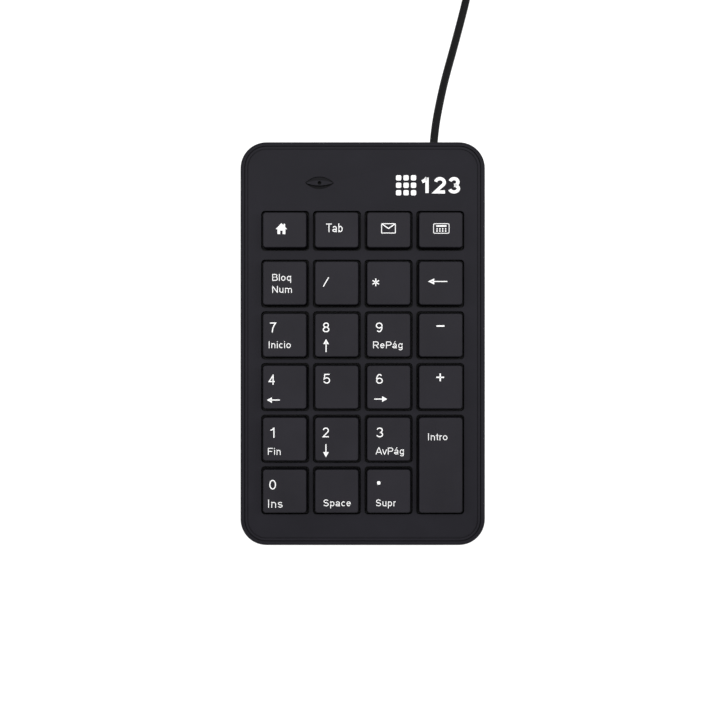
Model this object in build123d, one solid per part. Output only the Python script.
from build123d import *
import math
import os

# Numeric keypad: a wedge-shaped desktop keypad with 23 sprung keys and a USB lead.
#
# Everything in the case is drawn in the deck frame: X to the right, Y to the rear,
# Z square to the deck, with Z = 0 on the deck's face and X = Y = 0 at its centre.
# The finished case is then tilted about X and stood on its feet, so that the
# exported frame has +Z up and its origin on the table, under the middle of the case.
# The free cord, its coil and its plug are drawn straight in that table frame.

# ---- driving dimensions, millimetres and degrees ----

CASE_WIDTH = 90.4
CASE_LENGTH = 149.0
CORNER_RADIUS = 9.6
DECK_TILT = 3.0
FRONT_DEPTH = 11.5          # deck face to underside at the front edge
FOOT_HEIGHT = 1.0           # how far the feet hold the underside off the table

DECK_THICKNESS = 1.8
WALL = 1.8
RIM_RADIUS = 1.2            # rounding of the deck's outer edge
# Two grooves that follow the deck's edge: distance in from the side, width and depth.
RIM_GROOVES = ((1.5, 0.42, 0.55), (2.65, 0.38, 0.3))
SPLIT_Z = -7.0              # lower edge of the top cover's skirt
SHADOW_GAP = 0.3
LOWER_WALL = 2.4
FLOOR_THICKNESS = 1.7
UNDERSIDE_EDGE = 0.9
LIP_INSET = 1.9             # the bottom cover's lip, inside the top cover's skirt
LIP_THICKNESS = 0.8
LIP_RISE = 1.9
LIP_ROOT = 1.5
RIB_THICKNESS = 1.2
RIB_REACH_X = 34.0
RIB_ROWS_Y = (-52.0, -27.0, -2.0, 23.0, 46.0)
MIDDLE_RIB_Y = (-60.0, 46.0)
RIB_CLEARANCE = 0.15        # between the ribs and the backing plate

KEY_PITCH = 19.05
FRONT_ROW_Y = -54.1
FUNCTION_ROW_STEP = 19.5    # last main row to the shallow function row
CAP_SIZE = 15.7             # key top, both ways
FUNCTION_CAP_LENGTH = 12.7
CAP_CORNER = 1.0
CAP_DRAFT = 0.45            # how much each side spreads from key top to skirt
CAP_HEIGHT = 3.0            # key top above the deck
CAP_SKIRT_Z = -0.9
CAP_ROOF = 1.2
CAP_WALL = 1.1
CAP_EDGE = 0.35
WELL_GAP = 1.02             # key top to well wall, all round
WELL_CORNER = 1.35
WELL_DEPTH = 3.3
WELL_BORDER = 1.3           # wall outside the outermost wells
KEY_TRAVEL = 2.2
PRESSED_CLEARANCE = 0.3     # left under the cap's skirt when a key is fully down
FRAME_THICKNESS = 1.1       # guide frame's plate
SLEEVE_TOP_Z = -0.8
SLEEVE_SIZE = 7.2
SLEEVE_BORE = 5.6
STEM_SIZE = 5.2
STEM_BOTTOM_Z = -5.4
STEM_CORE = 3.0
HOOK_REACH = 0.45
HOOK_WIDTH = 2.2
HOOK_HEIGHT = 0.6
HOOK_SLACK = 0.08           # hook to guide frame with the key up

DOME_TOP_Z = -5.45
DOME_HEIGHT = 2.8
DOME_FOOT_RADIUS = 4.0
DOME_NECK_RADIUS = 2.9
DOME_CAP_RADIUS = 2.3
DOME_CAP_HEIGHT = 0.8
DOME_WALL = 0.5
DOME_ROOF = 0.35
DOME_SHEET = 0.45
CONTACT_WINDOW_RADIUS = 2.5
FILM = 0.15                 # printed membrane layer
SPACER_FILM = 0.10
PLATE_THICKNESS = 0.6

STACK_WIDTH = 84.0          # guide frame, dome sheet, films and backing plate
STACK_FRONT_Y = -64.6
STACK_REAR_Y = 50.6
STACK_SCREW_X = 40.0
STACK_SCREW_Y = (-44.6, -6.5, 31.6)
STACK_SCREW_RADIUS = 1.0
STACK_SCREW_TIP_Z = -1.1
STACK_BORE_TOP_Z = -0.9
STACK_BOSS_RADIUS = 1.9
SMALL_HEAD_RADIUS = 1.8     # heads of the stack's and the board's screws
SMALL_HEAD_HEIGHT = 1.0
SHEET_HOLE_RADIUS = 1.4
PLATE_HOLE_RADIUS = 1.2
SCREW_CLEARANCE = 0.15      # round a screw or a boss in the hole that it passes
HEAD_CLEARANCE = 0.3

CASE_SCREW_PLACES = ((-37.4, -68.6), (37.4, -68.6), (-37.8, 66.0), (37.8, 66.0))
CASE_SCREW_RADIUS = 1.3
CASE_BOSS_RADIUS = 2.9
CASE_POST_RADIUS = 3.9
CASE_HEAD_RADIUS = 2.4
CASE_HEAD_HEIGHT = 1.5
CASE_POST_RISE = 4.0        # underside to the joint between a post and its boss
CASE_SEAT_RISE = 2.5        # underside to the face under a screw's head
CASE_SCREW_LENGTH = 7.0

INDICATOR_X = -15.95
INDICATOR_Y = 59.3
INDICATOR_WIDTH = 10.6      # the eye-shaped dish
INDICATOR_LENGTH = 4.6
DISH_DEPTH = 0.12
CRESCENT_WIDTH = 1.35       # the deeper grooves along its two long sides
FRONT_CRESCENT_DEPTH = 1.2
REAR_CRESCENT_DEPTH = 0.55
LENS_RECESS = 1.4           # the light's lens below the deck
LENS_RADIUS = 0.7
LENS_FOOT_RADIUS = 1.9
LENS_FOOT_Z = -4.5
LENS_COLLAR_RADIUS = 3.0
LENS_COLLAR_Z = -4.4

BOARD_CENTRE = (-7.5, 62.0)
BOARD_SIZE = (53.0, 17.0)
BOARD_THICKNESS = 1.2
BOARD_SCREW_PLACES = ((-31.0, 67.0), (-31.0, 57.0), (15.5, 67.5))
BOARD_SCREW_TIP_Z = -4.2
BOARD_BORE_TOP_Z = -3.6
BOARD_BOSS_RADIUS = 2.2
TAIL_X = 3.0
TAIL_WIDTH = 18.0
TAIL_END_Y = 58.6

CORD_RADIUS = 1.5
CORD_EXIT_X = 26.6
CORD_EXIT_Z = -7.15
GROMMET_RADIUS = 2.6
GROMMET_FLANGE_RADIUS = 4.2

FOOT_RADIUS = 4.5
FOOT_THICKNESS = 1.5
FOOT_PLACES = ((-34.0, -57.5), (34.0, -57.5), (-34.0, 53.0), (34.0, 53.0))
LABEL_WIDTH = 46.0
LABEL_LENGTH = 22.0
LABEL_THICKNESS = 0.12
LABEL_Y = -4.0

# The free cord, in the table frame: out of the rear wall, down to the table and
# round to the right, into the coil's outermost turn.
CORD_ROUTE = (
    (26.6, 74.26, 13.14),
    (27.1, 80.60, 13.40),
    (29.0, 90.60, 11.00),
    (31.4, 101.20, 6.90),
    (34.4, 112.00, 3.30),
    (37.5, 123.50, 1.75),
    (40.7, 136.00, 1.60),
    (43.2, 149.00, 1.85),
    (44.2, 162.00, 2.10),
)
COIL_CENTRE = (20.0, 162.0)
COIL_INNER_RADIUS = 10.2
COIL_OUTER_RADIUS = 25.8
COIL_LIFT = 0.6             # thickness of the tie's strap under the coil
COIL_HEIGHT = 6.0
TIE_WIDTH = 5.0

# From the coil's upper turn to the plug's boot.
TAIL_ROUTE = (
    (20.0, 186.20, 5.10),
    (13.6, 186.60, 4.90),
    (8.0, 187.20, 4.30),
    (2.0, 187.60, 4.10),
)
PLUG_AXIS = (187.6, 4.1)    # Y and Z of the plug's axis
PLUG_BOOT_X = 2.0
BOOT_LENGTH = 11.0
GRIP_LENGTH = 21.0
GRIP_WIDTH = 15.4
GRIP_HEIGHT = 8.0
SHELL_LENGTH = 14.0
SHELL_WIDTH = 12.0
SHELL_HEIGHT = 4.5
SHELL_WALL = 0.3

# ---- sizes that follow from the driving ones ----

COLUMNS_X = [(column - 1.5) * KEY_PITCH for column in range(4)]
MAIN_ROWS_Y = [FRONT_ROW_Y + row * KEY_PITCH for row in range(5)]
FUNCTION_ROW_Y = MAIN_ROWS_Y[-1] + FUNCTION_ROW_STEP
FRAME_TOP_Z = CAP_SKIRT_Z - KEY_TRAVEL - PRESSED_CLEARANCE
FRAME_BOTTOM_Z = FRAME_TOP_Z - FRAME_THICKNESS
SHEET_TOP_Z = DOME_TOP_Z - DOME_HEIGHT
UPPER_FILM_TOP_Z = SHEET_TOP_Z - DOME_SHEET
SPACER_TOP_Z = UPPER_FILM_TOP_Z - FILM
LOWER_FILM_TOP_Z = SPACER_TOP_Z - SPACER_FILM
PLATE_TOP_Z = LOWER_FILM_TOP_Z - FILM
PLATE_BOTTOM_Z = PLATE_TOP_Z - PLATE_THICKNESS
STACK_LENGTH = STACK_REAR_Y - STACK_FRONT_Y
STACK_CENTRE_Y = (STACK_REAR_Y + STACK_FRONT_Y) / 2
CORD_EXIT_Y = CASE_LENGTH / 2

TILT = math.radians(DECK_TILT)
DECK_CENTRE_Z = FOOT_HEIGHT + CASE_LENGTH / 2 * math.sin(TILT) + FRONT_DEPTH * math.cos(TILT)
# The wall behind leans back, so the footprint's middle is behind the deck's middle.
DECK_CENTRE_Y = -0.51
ON_TABLE = Location((0, DECK_CENTRE_Y, DECK_CENTRE_Z), (DECK_TILT, 0, 0))

MAIN_KEYS = (
    ("key_0", "key_space", "key_decimal"),
    ("key_1", "key_2", "key_3"),
    ("key_4", "key_5", "key_6", "key_plus"),
    ("key_7", "key_8", "key_9", "key_minus"),
    ("key_num_lock", "key_divide", "key_multiply", "key_backspace"),
)
FUNCTION_KEYS = ("key_home", "key_tab", "key_mail", "key_calculator")


def key_table():
    """Every key's name, centre and size over its top face."""
    keys = []
    for names, y in zip(MAIN_KEYS, MAIN_ROWS_Y):
        for name, x in zip(names, COLUMNS_X):
            keys.append((name, x, y, CAP_SIZE))
    for name, x in zip(FUNCTION_KEYS, COLUMNS_X):
        keys.append((name, x, FUNCTION_ROW_Y, FUNCTION_CAP_LENGTH))
    enter_y = (MAIN_ROWS_Y[0] + MAIN_ROWS_Y[1]) / 2
    keys.append(("key_enter", COLUMNS_X[3], enter_y, CAP_SIZE + KEY_PITCH))
    return keys


KEYS = key_table()


# ---- small helpers ----

def block(x0, x1, y0, y1, z0, z1):
    """A plain block between two opposite corners."""
    centre = ((x0 + x1) / 2, (y0 + y1) / 2, (z0 + z1) / 2)
    return Pos(*centre) * Box(x1 - x0, y1 - y0, z1 - z0)


def rod(x, y, z0, z1, radius):
    """An upright cylinder from z0 to z1."""
    return Pos(x, y, (z0 + z1) / 2) * Cylinder(radius, z1 - z0)


def slab(width, length, corner, z0, z1, x=0.0, y=0.0):
    """An upright rounded rectangle from z0 to z1."""
    outline = Pos(x, y, z0) * RectangleRounded(width, length, corner)
    return extrude(outline, z1 - z0)


def case_slab(inset, z0, z1):
    """The case's plan outline, drawn in by inset."""
    corner = CORNER_RADIUS - inset
    return slab(CASE_WIDTH - 2 * inset, CASE_LENGTH - 2 * inset, corner, z0, z1)


def half_space_below(height):
    """Everything under a level height above the table, in the deck frame."""
    below = Pos(0, 0, height - 50) * Box(400, 400, 100)
    return ON_TABLE.inverse() * below


def underside_z(y):
    """Z of the underside in the deck frame, at a distance y from the centre."""
    return -FRONT_DEPTH - (y + CASE_LENGTH / 2) * math.tan(TILT)


def cross_recess(size, depth):
    """A Phillips recess to cut from a screw head, pointing up from Z = 0."""
    arm = Pos(0, 0, depth / 2) * Box(size, size / 4, depth)
    return arm + Rot(0, 0, 90) * arm


def screw(x, y, head_z, tip_z, radius, head_radius, head_height):
    """A pan-head screw driven upwards: head_z is the face under its head."""
    head = rod(x, y, head_z - head_height, head_z, head_radius)
    head = fillet(head.edges().sort_by(Axis.Z)[0], head_height * 0.4)
    body = head + rod(x, y, head_z, tip_z, radius)
    recess = Pos(x, y, head_z - head_height) * cross_recess(head_radius * 1.1, head_height * 0.6)
    return body - recess


def tube_along(points, radius):
    """A cord of straight runs and tangent arcs, each arc as large as its runs allow."""
    places = [Vector(*point) for point in points]
    runs = [b - a for a, b in zip(places, places[1:])]
    radii = []
    for before, after in zip(runs, runs[1:]):
        turn = math.radians(before.get_angle(after))
        radii.append(0.45 * min(before.length, after.length) / math.tan(turn / 2))
    path = FilletPolyline(*places, radius=radii)
    section = Plane(origin=places[0], z_dir=runs[0]) * Circle(radius)
    tube = sweep(section, path=path)
    expected = math.pi * radius ** 2 * path.length
    print("cord radii", [round(value, 1) for value in radii],
          "length", round(path.length, 1), "volume ratio", round(tube.volume / expected, 4))
    return tube


# ---- the case ----

def pointed_oval(half_width, half_length, z0, z1):
    """Two arcs that meet in a point at each end, round the indicator, from z0 to z1."""
    arcs = (ThreePointArc((-half_width, 0), (0, half_length), (half_width, 0))
            + ThreePointArc((half_width, 0), (0, -half_length), (-half_width, 0)))
    outline = Pos(INDICATOR_X, INDICATOR_Y, z0) * make_face(arcs.edges())
    return extrude(outline, z1 - z0, dir=(0, 0, 1))


def indicator_recess():
    """The eye-shaped dish round the light: a shallow middle between two deeper crescents."""
    half_width = INDICATOR_WIDTH / 2
    half_length = INDICATOR_LENGTH / 2
    recess = pointed_oval(half_width, half_length, -DISH_DEPTH, 1)
    for side, depth in ((-1, FRONT_CRESCENT_DEPTH), (1, REAR_CRESCENT_DEPTH)):
        ring = (pointed_oval(half_width, half_length, -depth, 1)
                - pointed_oval(half_width - 0.2, half_length - CRESCENT_WIDTH, -depth - 1, 2))
        near_side = Pos(INDICATOR_X, INDICATOR_Y + side * half_length, 0) * Box(20, INDICATOR_LENGTH, 6)
        recess += ring & near_side
    return recess


def make_top_cover():
    cover = case_slab(0, SPLIT_Z, 0)
    cover = fillet(cover.faces().sort_by(Axis.Z)[-1].edges(), RIM_RADIUS)
    cover -= case_slab(WALL, SPLIT_Z - 1, -DECK_THICKNESS)
    for inset, width, depth in RIM_GROOVES:
        cover -= case_slab(inset, -depth, 1) - case_slab(inset + width, -depth - 1, 2)

    # Walls round and between the wells, under the deck.
    border = WELL_GAP + WELL_BORDER
    field_x = COLUMNS_X[-1] + CAP_SIZE / 2 + border
    field_front = MAIN_ROWS_Y[0] - CAP_SIZE / 2 - border
    field_rear = FUNCTION_ROW_Y + FUNCTION_CAP_LENGTH / 2 + border
    cover += block(-field_x, field_x, field_front, field_rear, -WELL_DEPTH, -DECK_THICKNESS)
    for x in (-STACK_SCREW_X, STACK_SCREW_X):
        for y in STACK_SCREW_Y:
            cover += rod(x, y, FRAME_TOP_Z, -DECK_THICKNESS, STACK_BOSS_RADIUS)
    for x, y in CASE_SCREW_PLACES:
        cover += rod(x, y, post_top_z(y), -DECK_THICKNESS, CASE_BOSS_RADIUS)
    for x, y in BOARD_SCREW_PLACES:
        cover += rod(x, y, PLATE_TOP_Z, -DECK_THICKNESS, BOARD_BOSS_RADIUS)
    cover += rod(INDICATOR_X, INDICATOR_Y, LENS_COLLAR_Z, -DECK_THICKNESS, LENS_COLLAR_RADIUS)

    for name, x, y, length in KEYS:
        cover -= slab(CAP_SIZE + 2 * WELL_GAP, length + 2 * WELL_GAP, WELL_CORNER,
                      -WELL_DEPTH - 1, 1, x, y)
    for x in (-STACK_SCREW_X, STACK_SCREW_X):
        for y in STACK_SCREW_Y:
            cover -= rod(x, y, FRAME_TOP_Z - 1, STACK_BORE_TOP_Z, STACK_SCREW_RADIUS)
    for x, y in CASE_SCREW_PLACES:
        cover -= rod(x, y, post_top_z(y) - 1, case_screw_tip_z(y) + 0.4, CASE_SCREW_RADIUS)
    for x, y in BOARD_SCREW_PLACES:
        cover -= rod(x, y, PLATE_TOP_Z - 1, BOARD_BORE_TOP_Z, STACK_SCREW_RADIUS)
    cover -= indicator_recess()
    cover -= rod(INDICATOR_X, INDICATOR_Y, -4, 1, LENS_RADIUS)
    cover -= make_indicator_lens()
    cover -= grommet_barrel()
    return cover


def post_top_z(y):
    """Where a case boss on the top cover meets the post on the bottom cover."""
    return underside_z(y) + CASE_POST_RISE


def case_screw_seat_z(y):
    """The face under a case screw's head."""
    return underside_z(y) + CASE_SEAT_RISE


def case_screw_tip_z(y):
    """The upper end of a case screw."""
    return case_screw_seat_z(y) + CASE_SCREW_LENGTH


def make_bottom_cover():
    rim_z = SPLIT_Z - SHADOW_GAP
    deepest = underside_z(CASE_LENGTH / 2) - 2
    outside = case_slab(0, deepest, rim_z) - half_space_below(FOOT_HEIGHT)
    underside = outside.faces().sort_by(Axis.Z)[0]
    outside = chamfer(underside.edges(), UNDERSIDE_EDGE)
    inside = case_slab(LOWER_WALL, deepest, rim_z + 1) - half_space_below(FOOT_HEIGHT + FLOOR_THICKNESS)
    cover = outside - inside

    # A lip inside the top cover's skirt keeps the two covers in line.
    lip = case_slab(LIP_INSET, rim_z - LIP_ROOT, rim_z + LIP_RISE)
    lip -= case_slab(LIP_INSET + LIP_THICKNESS, rim_z - 3, rim_z + 3)
    cover += lip

    # Ribs that carry the backing plate while keys are pressed.
    half_rib = RIB_THICKNESS / 2
    rib_top_z = PLATE_BOTTOM_Z - RIB_CLEARANCE
    inner_parts = block(-half_rib, half_rib, *MIDDLE_RIB_Y, deepest, rib_top_z)
    for y in RIB_ROWS_Y:
        inner_parts += block(-RIB_REACH_X, RIB_REACH_X, y - half_rib, y + half_rib, deepest, rib_top_z)
    for x, y in CASE_SCREW_PLACES:
        inner_parts += rod(x, y, deepest, post_top_z(y), CASE_POST_RADIUS)
    inner_parts -= half_space_below(FOOT_HEIGHT + FLOOR_THICKNESS / 2)
    inner_parts &= case_slab(1.0, deepest, rim_z + 3)
    cover += inner_parts

    for x, y in CASE_SCREW_PLACES:
        cover -= rod(x, y, deepest - 1, case_screw_seat_z(y), CASE_HEAD_RADIUS + HEAD_CLEARANCE)
        cover -= rod(x, y, deepest, 0, CASE_SCREW_RADIUS + SCREW_CLEARANCE)
        cover -= rod(x, y, post_top_z(y), 0, CASE_BOSS_RADIUS + SCREW_CLEARANCE)
    for x, y in FOOT_PLACES:
        cover -= ON_TABLE.inverse() * rod(x, y, -1, FOOT_THICKNESS, FOOT_RADIUS)
    cover -= grommet_barrel()
    return cover


def make_case_screws():
    screws = [screw(x, y, case_screw_seat_z(y), case_screw_tip_z(y), CASE_SCREW_RADIUS,
                    CASE_HEAD_RADIUS, CASE_HEAD_HEIGHT) for x, y in CASE_SCREW_PLACES]
    return Compound(children=screws)


def make_feet():
    """Rubber pads, drawn in the table frame."""
    feet = []
    for x, y in FOOT_PLACES:
        pad = rod(x, y, 0, FOOT_THICKNESS, FOOT_RADIUS)
        feet.append(fillet(pad.edges().sort_by(Axis.Z)[0], 0.4))
    return Compound(children=feet)


def make_blank_label():
    """A plain foil label stuck to the underside, drawn in the table frame."""
    return slab(LABEL_WIDTH, LABEL_LENGTH, 1.5, FOOT_HEIGHT - LABEL_THICKNESS, FOOT_HEIGHT, 0, LABEL_Y)


# ---- keys ----

def key_shell(length, z0, z1, inset):
    """A tapering block that is CAP_SIZE by length at the key top's height."""
    slope = CAP_DRAFT / (CAP_HEIGHT - CAP_SKIRT_Z)
    spread = slope * (CAP_HEIGHT - z0) - inset
    outline = Pos(0, 0, z0) * RectangleRounded(CAP_SIZE + 2 * spread, length + 2 * spread,
                                               CAP_CORNER + max(spread, -0.6))
    return extrude(outline, z1 - z0, taper=math.degrees(math.atan(slope)))


def make_keycap(x, y, length):
    cap = key_shell(length, CAP_SKIRT_Z, CAP_HEIGHT, 0)
    cap = fillet(cap.faces().sort_by(Axis.Z)[-1].edges(), CAP_EDGE)
    roof_z = CAP_HEIGHT - CAP_ROOF
    cap -= key_shell(length, CAP_SKIRT_Z - 0.5, roof_z, CAP_WALL)
    stem = slab(STEM_SIZE, STEM_SIZE, 0.4, STEM_BOTTOM_Z, roof_z + 0.3)
    hook_top = FRAME_BOTTOM_Z - HOOK_SLACK
    reach = STEM_SIZE / 2 + HOOK_REACH
    stem += block(-HOOK_WIDTH / 2, HOOK_WIDTH / 2, -reach, reach, hook_top - HOOK_HEIGHT, hook_top)
    stem -= slab(STEM_CORE, STEM_CORE, 0.4, STEM_BOTTOM_Z - 1, roof_z - 0.2)
    cap += stem
    if length > CAP_SIZE:
        cap += stabiliser_clips(roof_z)
    return Pos(x, y, 0) * cap


# ---- the tall key's stabiliser: a bent wire that keeps the cap level ----

WIRE_RADIUS = 0.6
WIRE_PIVOT_X = -5.4
WIRE_PIVOT_Z = -2.4
WIRE_BAR_X = 5.4
WIRE_BAR_Z = 0.6
WIRE_LEG_Y = 13.2
WIRE_TIP_Y = 15.4
CLIP_Y = 10.4


def stabiliser_clips(roof_z):
    """Two slotted hangers under the cap, which the wire's long bar slides in."""
    clips = None
    for y in (-CLIP_Y, CLIP_Y):
        hanger = block(3.9, 7.3, y - 0.8, y + 0.8, WIRE_BAR_Z - 1.5, roof_z + 0.2)
        hanger -= block(3.0, 6.75, y - 2, y + 2, WIRE_BAR_Z - 0.85, WIRE_BAR_Z + 0.85)
        clips = hanger if clips is None else clips + hanger
    return clips


def make_enter_stabiliser(x, y):
    corners = [
        (WIRE_PIVOT_X, -WIRE_TIP_Y, WIRE_PIVOT_Z),
        (WIRE_PIVOT_X, -WIRE_LEG_Y, WIRE_PIVOT_Z),
        (WIRE_BAR_X, -WIRE_LEG_Y, WIRE_BAR_Z),
        (WIRE_BAR_X, WIRE_LEG_Y, WIRE_BAR_Z),
        (WIRE_PIVOT_X, WIRE_LEG_Y, WIRE_PIVOT_Z),
        (WIRE_PIVOT_X, WIRE_TIP_Y, WIRE_PIVOT_Z),
    ]
    path = FilletPolyline(*corners, radius=1.1)
    section = Plane(origin=corners[0], z_dir=(0, 1, 0)) * Circle(WIRE_RADIUS)
    return Pos(x, y, 0) * sweep(section, path=path)


def stabiliser_eyelets(x, y):
    """Posts on the guide frame that the wire's tips turn in."""
    posts = None
    for side in (-1, 1):
        inner, outer = sorted((side * 14.35, side * 15.5))
        post = block(x + WIRE_PIVOT_X - 1.3, x + WIRE_PIVOT_X + 1.3, y + inner, y + outer,
                     FRAME_TOP_Z - 0.2, WIRE_PIVOT_Z + 1.2)
        hole = Cylinder(WIRE_RADIUS + 0.12, 4, rotation=(90, 0, 0))
        post -= Pos(x + WIRE_PIVOT_X, y + side * 14.9, WIRE_PIVOT_Z) * hole
        posts = post if posts is None else posts + post
    return posts


# ---- the stack under the keys ----

def stack_sheet(z0, z1, screw_hole):
    """One full layer of the stack, with its six screw holes."""
    layer = slab(STACK_WIDTH, STACK_LENGTH, 4.0, z0, z1, 0, STACK_CENTRE_Y)
    for x in (-STACK_SCREW_X, STACK_SCREW_X):
        for y in STACK_SCREW_Y:
            layer -= rod(x, y, z0 - 1, z1 + 1, screw_hole)
    return layer


def make_guide_frame():
    frame = slab(STACK_WIDTH, STACK_LENGTH, 4.0, FRAME_BOTTOM_Z, FRAME_TOP_Z, 0, STACK_CENTRE_Y)
    rim = (slab(STACK_WIDTH, STACK_LENGTH, 4.0, SHEET_TOP_Z, FRAME_BOTTOM_Z, 0, STACK_CENTRE_Y)
           - slab(STACK_WIDTH - 3, STACK_LENGTH - 3, 2.5, SHEET_TOP_Z - 1, 0, 0, STACK_CENTRE_Y))
    frame += rim
    for x in (-STACK_SCREW_X, STACK_SCREW_X):
        for y in STACK_SCREW_Y:
            frame += rod(x, y, SHEET_TOP_Z, FRAME_BOTTOM_Z, STACK_BOSS_RADIUS)
    for name, x, y, length in KEYS:
        frame += slab(SLEEVE_SIZE, SLEEVE_SIZE, 0.8, FRAME_BOTTOM_Z, SLEEVE_TOP_Z, x, y)
        if name == "key_enter":
            frame += stabiliser_eyelets(x, y)
    for name, x, y, length in KEYS:
        frame -= slab(SLEEVE_BORE, SLEEVE_BORE, 0.5, FRAME_BOTTOM_Z - 1, 0, x, y)
    for x in (-STACK_SCREW_X, STACK_SCREW_X):
        for y in STACK_SCREW_Y:
            frame -= rod(x, y, SHEET_TOP_Z - 1, 0, STACK_SCREW_RADIUS + SCREW_CLEARANCE)
    return frame


def make_dome_sheet():
    """A rubber sheet with a hollow dome under each key."""
    sheet = stack_sheet(UPPER_FILM_TOP_Z, SHEET_TOP_Z, SHEET_HOLE_RADIUS)
    shoulder = DOME_HEIGHT - DOME_CAP_HEIGHT
    ceiling = shoulder - DOME_ROOF
    cavity_radius = DOME_FOOT_RADIUS - DOME_WALL
    for name, x, y, length in KEYS:
        cone = Cone(DOME_FOOT_RADIUS, DOME_NECK_RADIUS, shoulder)
        sheet += Pos(x, y, SHEET_TOP_Z + shoulder / 2) * cone
        sheet += rod(x, y, SHEET_TOP_Z + shoulder - 0.2, DOME_TOP_Z, DOME_CAP_RADIUS)
    for name, x, y, length in KEYS:
        cavity = Cone(cavity_radius, DOME_NECK_RADIUS - DOME_WALL, ceiling)
        sheet -= Pos(x, y, SHEET_TOP_Z + ceiling / 2) * cavity
        sheet -= rod(x, y, UPPER_FILM_TOP_Z - 1, SHEET_TOP_Z, cavity_radius)
    return sheet


def make_spacer_film():
    film = stack_sheet(LOWER_FILM_TOP_Z, SPACER_TOP_Z, SHEET_HOLE_RADIUS)
    for name, x, y, length in KEYS:
        film -= rod(x, y, LOWER_FILM_TOP_Z - 1, SPACER_TOP_Z + 1, CONTACT_WINDOW_RADIUS)
    return film


def make_lower_film():
    """The lower printed film, whose tail reaches back over the circuit board."""
    film = stack_sheet(PLATE_TOP_Z, LOWER_FILM_TOP_Z, SHEET_HOLE_RADIUS)
    tail = block(TAIL_X - TAIL_WIDTH / 2, TAIL_X + TAIL_WIDTH / 2, STACK_REAR_Y - 1, TAIL_END_Y,
                 PLATE_TOP_Z, LOWER_FILM_TOP_Z)
    return film + tail


def make_stack_screws():
    screws = []
    for x in (-STACK_SCREW_X, STACK_SCREW_X):
        for y in STACK_SCREW_Y:
            screws.append(screw(x, y, PLATE_BOTTOM_Z, STACK_SCREW_TIP_Z, STACK_SCREW_RADIUS,
                                SMALL_HEAD_RADIUS, SMALL_HEAD_HEIGHT))
    return Compound(children=screws)


# ---- the controller ----

BOARD_TOP_Z = PLATE_TOP_Z
BOARD_BOTTOM_Z = BOARD_TOP_Z - BOARD_THICKNESS
CLAMP_Y = (54.3, 58.1)
CLAMP_X = (TAIL_X - 13.0, TAIL_X + 13.0)
CLAMP_SCREW_X = (TAIL_X - 11.3, TAIL_X + 11.3)


def clamp_screw_places():
    return [(x, sum(CLAMP_Y) / 2) for x in CLAMP_SCREW_X]


def make_controller_board():
    x, y = BOARD_CENTRE
    board = slab(BOARD_SIZE[0], BOARD_SIZE[1], 1.0, BOARD_BOTTOM_Z, BOARD_TOP_Z, x, y)
    for place in list(BOARD_SCREW_PLACES) + clamp_screw_places():
        board -= rod(*place, BOARD_BOTTOM_Z - 1, BOARD_TOP_Z + 1, STACK_SCREW_RADIUS + SCREW_CLEARANCE)
    return board


def make_controller_chip():
    chip = block(-6.0, 4.0, 62.0, 66.0, BOARD_TOP_Z + 0.2, BOARD_TOP_Z + 1.9)
    for pin in range(8):
        x = -5.45 + pin * 1.27
        chip += block(x - 0.2, x + 0.2, 60.9, 67.1, BOARD_TOP_Z, BOARD_TOP_Z + 0.6)
    return chip


def make_board_parts():
    """Crystal can and reservoir capacitor."""
    crystal = slab(9.0, 3.8, 1.8, BOARD_TOP_Z, BOARD_TOP_Z + 3.2, -25.0, 64.5)
    capacitor = rod(7.4, 65.0, BOARD_TOP_Z, BOARD_TOP_Z + 5.2, 2.0)
    capacitor = fillet(capacitor.edges().sort_by(Axis.Z)[-1], 0.4)
    return Compound(children=[crystal, capacitor])


def make_indicator_led():
    base = rod(INDICATOR_X, INDICATOR_Y, BOARD_TOP_Z, BOARD_TOP_Z + 1.0, 1.9)
    body = rod(INDICATOR_X, INDICATOR_Y, BOARD_TOP_Z + 1.0, BOARD_TOP_Z + 4.4, 1.5)
    body = fillet(body.edges().sort_by(Axis.Z)[-1], 1.2)
    return base + body


def make_indicator_lens():
    """The light pipe: a thin pin up to the dish and a wider foot under the deck."""
    pin = rod(INDICATOR_X, INDICATOR_Y, -3.0, -LENS_RECESS, LENS_RADIUS)
    foot = rod(INDICATOR_X, INDICATOR_Y, LENS_FOOT_Z, -2.6, LENS_FOOT_RADIUS)
    return pin + foot


def make_tail_pad():
    return block(TAIL_X - TAIL_WIDTH / 2, TAIL_X + TAIL_WIDTH / 2, *CLAMP_Y,
                 LOWER_FILM_TOP_Z, LOWER_FILM_TOP_Z + 1.0)


def make_tail_clamp():
    floor_z = LOWER_FILM_TOP_Z + 1.0
    clamp = block(*CLAMP_X, *CLAMP_Y, floor_z, floor_z + 2.5)
    for x, y in clamp_screw_places():
        clamp += rod(x, y, BOARD_TOP_Z, floor_z, 1.7)
        clamp -= rod(x, y, BOARD_TOP_Z - 1, floor_z + 2.0, STACK_SCREW_RADIUS)
    return clamp


def make_board_screws():
    """Three screws into the top cover's bosses and two into the clamp."""
    tips = [(place, BOARD_SCREW_TIP_Z) for place in BOARD_SCREW_PLACES]
    tips += [(place, LOWER_FILM_TOP_Z + 2.7) for place in clamp_screw_places()]
    screws = [screw(*place, BOARD_BOTTOM_Z, tip_z, STACK_SCREW_RADIUS,
                    SMALL_HEAD_RADIUS, SMALL_HEAD_HEIGHT) for place, tip_z in tips]
    return Compound(children=screws)


def make_lead_connector():
    body = block(10.0, 14.8, 59.4, 64.6, BOARD_TOP_Z, BOARD_TOP_Z + 4.0)
    body -= block(12.4, 16.0, 60.0, 64.0, BOARD_TOP_Z + 1.0, BOARD_TOP_Z + 3.2)
    return body


# ---- the lead inside the case ----

LEAD_END_X = 20.5
LEAD_CENTRE_Y = 62.0
LEAD_WIRE_Z = BOARD_TOP_Z + 2.1


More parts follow.
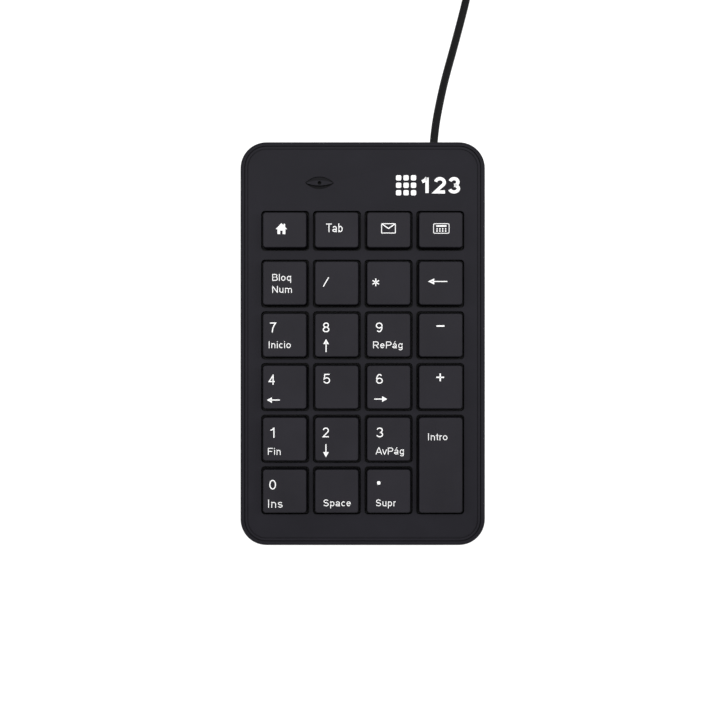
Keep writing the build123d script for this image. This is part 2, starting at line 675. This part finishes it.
def grommet_barrel():
    """The round part of the cord bushing that the two covers close on."""
    barrel = Cylinder(GROMMET_RADIUS, 2.9 + 0.6, rotation=(90, 0, 0))
    return Pos(CORD_EXIT_X, CORD_EXIT_Y - 2.9 / 2 + 0.3, CORD_EXIT_Z) * barrel


def make_cord_bushing():
    barrel = Cylinder(GROMMET_RADIUS, 2.9, rotation=(90, 0, 0))
    bushing = Pos(CORD_EXIT_X, CORD_EXIT_Y - 1.45, CORD_EXIT_Z) * barrel
    flange = Cylinder(GROMMET_FLANGE_RADIUS, 1.6, rotation=(90, 0, 0))
    bushing += Pos(CORD_EXIT_X, CORD_EXIT_Y - 3.7, CORD_EXIT_Z) * flange
    bore = Cylinder(CORD_RADIUS, 12, rotation=(90, 0, 0))
    bushing -= Pos(CORD_EXIT_X, CORD_EXIT_Y - 3, CORD_EXIT_Z) * bore
    return bushing


def make_inner_lead():
    corners = [
        (CORD_EXIT_X, CORD_EXIT_Y, CORD_EXIT_Z),
        (CORD_EXIT_X, LEAD_CENTRE_Y, LEAD_WIRE_Z),
        (LEAD_END_X, LEAD_CENTRE_Y, LEAD_WIRE_Z),
    ]
    straight = (CORD_EXIT_X, CORD_EXIT_Y - 6.0, CORD_EXIT_Z)
    path = FilletPolyline(corners[0], straight, corners[1], corners[2], radius=[9.0, 3.6])
    section = Plane(origin=corners[0], z_dir=(0, -1, 0)) * Circle(CORD_RADIUS)
    return sweep(section, path=path)


def make_lead_wires():
    """Four insulated cores from the lead's jacket to the connector."""
    wires = []
    for index in range(4):
        y = LEAD_CENTRE_Y - 1.05 + index * 0.7
        core = Cylinder(0.3, LEAD_END_X - 12.4, rotation=(0, 90, 0))
        wires.append(Pos((LEAD_END_X + 12.4) / 2, y, LEAD_WIRE_Z) * core)
    return Compound(children=wires)


# ---- the free cord, drawn in the table frame ----

def make_cord_coil():
    """The outer shape of a flat two-layer coil."""
    mean = (COIL_INNER_RADIUS + COIL_OUTER_RADIUS) / 2
    section = Plane.XZ * (Pos(mean, COIL_LIFT + COIL_HEIGHT / 2)
                          * RectangleRounded(COIL_OUTER_RADIUS - COIL_INNER_RADIUS, COIL_HEIGHT, 1.4))
    ring = revolve(section, Axis.Z)
    return Pos(*COIL_CENTRE, 0) * ring


def make_coil_tie(coil):
    """A strap round one side of the coil."""
    inner = COIL_INNER_RADIUS - COIL_LIFT
    outer = COIL_OUTER_RADIUS + COIL_LIFT
    height = COIL_HEIGHT + 2 * COIL_LIFT
    strap = (Pos(-(inner + outer) / 2, 0, height / 2) * Box(outer - inner, TIE_WIDTH, height))
    strap = fillet(strap.edges().filter_by(Axis.Y), 1.6)
    return Pos(*COIL_CENTRE, 0) * strap - coil


def plug_frame(shape):
    """Turns a plug drawn along +X from its boot's end to lie on the table."""
    return Pos(PLUG_BOOT_X, *PLUG_AXIS) * Rot(0, 0, 180) * shape


def make_plug_grip():
    boot = Cone(2.2, 3.2, BOOT_LENGTH, rotation=(0, 90, 0))
    boot = Pos(BOOT_LENGTH / 2, 0, 0) * boot
    for groove in range(4):
        ring = Cylinder(6, 0.9, rotation=(0, 90, 0)) - Cylinder(2.0, 0.9, rotation=(0, 90, 0))
        boot -= Pos(1.8 + groove * 2.3, 0, 0) * ring
    grip = Pos(BOOT_LENGTH + GRIP_LENGTH / 2, 0, 0) * Box(GRIP_LENGTH, GRIP_WIDTH, GRIP_HEIGHT)
    grip = fillet(grip.edges().filter_by(Axis.X), 2.4)
    grip = fillet(grip.faces().sort_by(Axis.X)[0].edges(), 1.6)
    return plug_frame(boot + grip)


def make_plug_shell():
    start = BOOT_LENGTH + GRIP_LENGTH
    middle = start + SHELL_LENGTH / 2
    shell = Pos(middle, 0, 0) * Box(SHELL_LENGTH, SHELL_WIDTH, SHELL_HEIGHT)
    shell = fillet(shell.edges().filter_by(Axis.X), 0.6)
    hollow = Box(SHELL_LENGTH, SHELL_WIDTH - 2 * SHELL_WALL, SHELL_HEIGHT - 2 * SHELL_WALL)
    shell -= Pos(middle + 0.4, 0, 0) * hollow
    for y in (-2.9, 2.9):
        shell -= Pos(start + SHELL_LENGTH - 6.6, y, 0) * Box(2.2, 2.4, SHELL_HEIGHT + 1)
    return plug_frame(shell)


def make_plug_tongue():
    """The insulator that fills the lower half of the shell."""
    x0 = BOOT_LENGTH + GRIP_LENGTH + 0.4
    x1 = BOOT_LENGTH + GRIP_LENGTH + SHELL_LENGTH - 0.8
    z0 = -SHELL_HEIGHT / 2 + SHELL_WALL
    half = SHELL_WIDTH / 2 - SHELL_WALL
    return plug_frame(block(x0, x1, -half, half, z0, z0 + 1.9))


def make_plug_contacts():
    x1 = BOOT_LENGTH + GRIP_LENGTH + SHELL_LENGTH - 1.6
    z0 = -SHELL_HEIGHT / 2 + SHELL_WALL + 1.9
    strips = []
    for y in (-3.5, -1.0, 1.0, 3.5):
        strips.append(block(x1 - 7.4, x1, y - 0.5, y + 0.5, z0, z0 + 0.15))
    return plug_frame(Compound(children=strips))


# ---- writing the nodes ----

def main():
    in_case = {
        "top_cover": make_top_cover(),
        "bottom_cover": make_bottom_cover(),
        "case_screws": make_case_screws(),
        "guide_frame": make_guide_frame(),
        "dome_sheet": make_dome_sheet(),
        "upper_film": stack_sheet(SPACER_TOP_Z, UPPER_FILM_TOP_Z, SHEET_HOLE_RADIUS),
        "spacer_film": make_spacer_film(),
        "lower_film": make_lower_film(),
        "backing_plate": stack_sheet(PLATE_BOTTOM_Z, PLATE_TOP_Z, PLATE_HOLE_RADIUS),
        "stack_screws": make_stack_screws(),
        "controller_board": make_controller_board(),
        "controller_chip": make_controller_chip(),
        "board_parts": make_board_parts(),
        "indicator_led": make_indicator_led(),
        "indicator_lens": make_indicator_lens(),
        "tail_pad": make_tail_pad(),
        "tail_clamp": make_tail_clamp(),
        "board_screws": make_board_screws(),
        "lead_connector": make_lead_connector(),
        "lead_wires": make_lead_wires(),
        "inner_lead": make_inner_lead(),
        "cord_bushing": make_cord_bushing(),
    }
    for name, x, y, length in KEYS:
        in_case[name] = make_keycap(x, y, length)
        if name == "key_enter":
            in_case["enter_stabiliser"] = make_enter_stabiliser(x, y)

    coil = make_cord_coil()
    nodes = {name: ON_TABLE * shape for name, shape in in_case.items()}
    nodes.update({
        "feet": make_feet(),
        "blank_label": make_blank_label(),
        "cord_run": tube_along(CORD_ROUTE, CORD_RADIUS),
        "cord_coil": coil,
        "cord_tail": tube_along(TAIL_ROUTE, CORD_RADIUS),
        "coil_tie": make_coil_tie(coil),
        "plug_grip": make_plug_grip(),
        "plug_shell": make_plug_shell(),
        "plug_tongue": make_plug_tongue(),
        "plug_contacts": make_plug_contacts(),
    })

    os.makedirs("parts", exist_ok=True)
    for name, shape in nodes.items():
        export_step(shape, f"parts/{name}.step")
    case = nodes["top_cover"].bounding_box().add(nodes["bottom_cover"].bounding_box())
    print("case box", case.min, case.max, "nodes", len(nodes))
    exit_place = ON_TABLE * Pos(CORD_EXIT_X, CORD_EXIT_Y, CORD_EXIT_Z)
    print("cord exit", exit_place.position)


main()
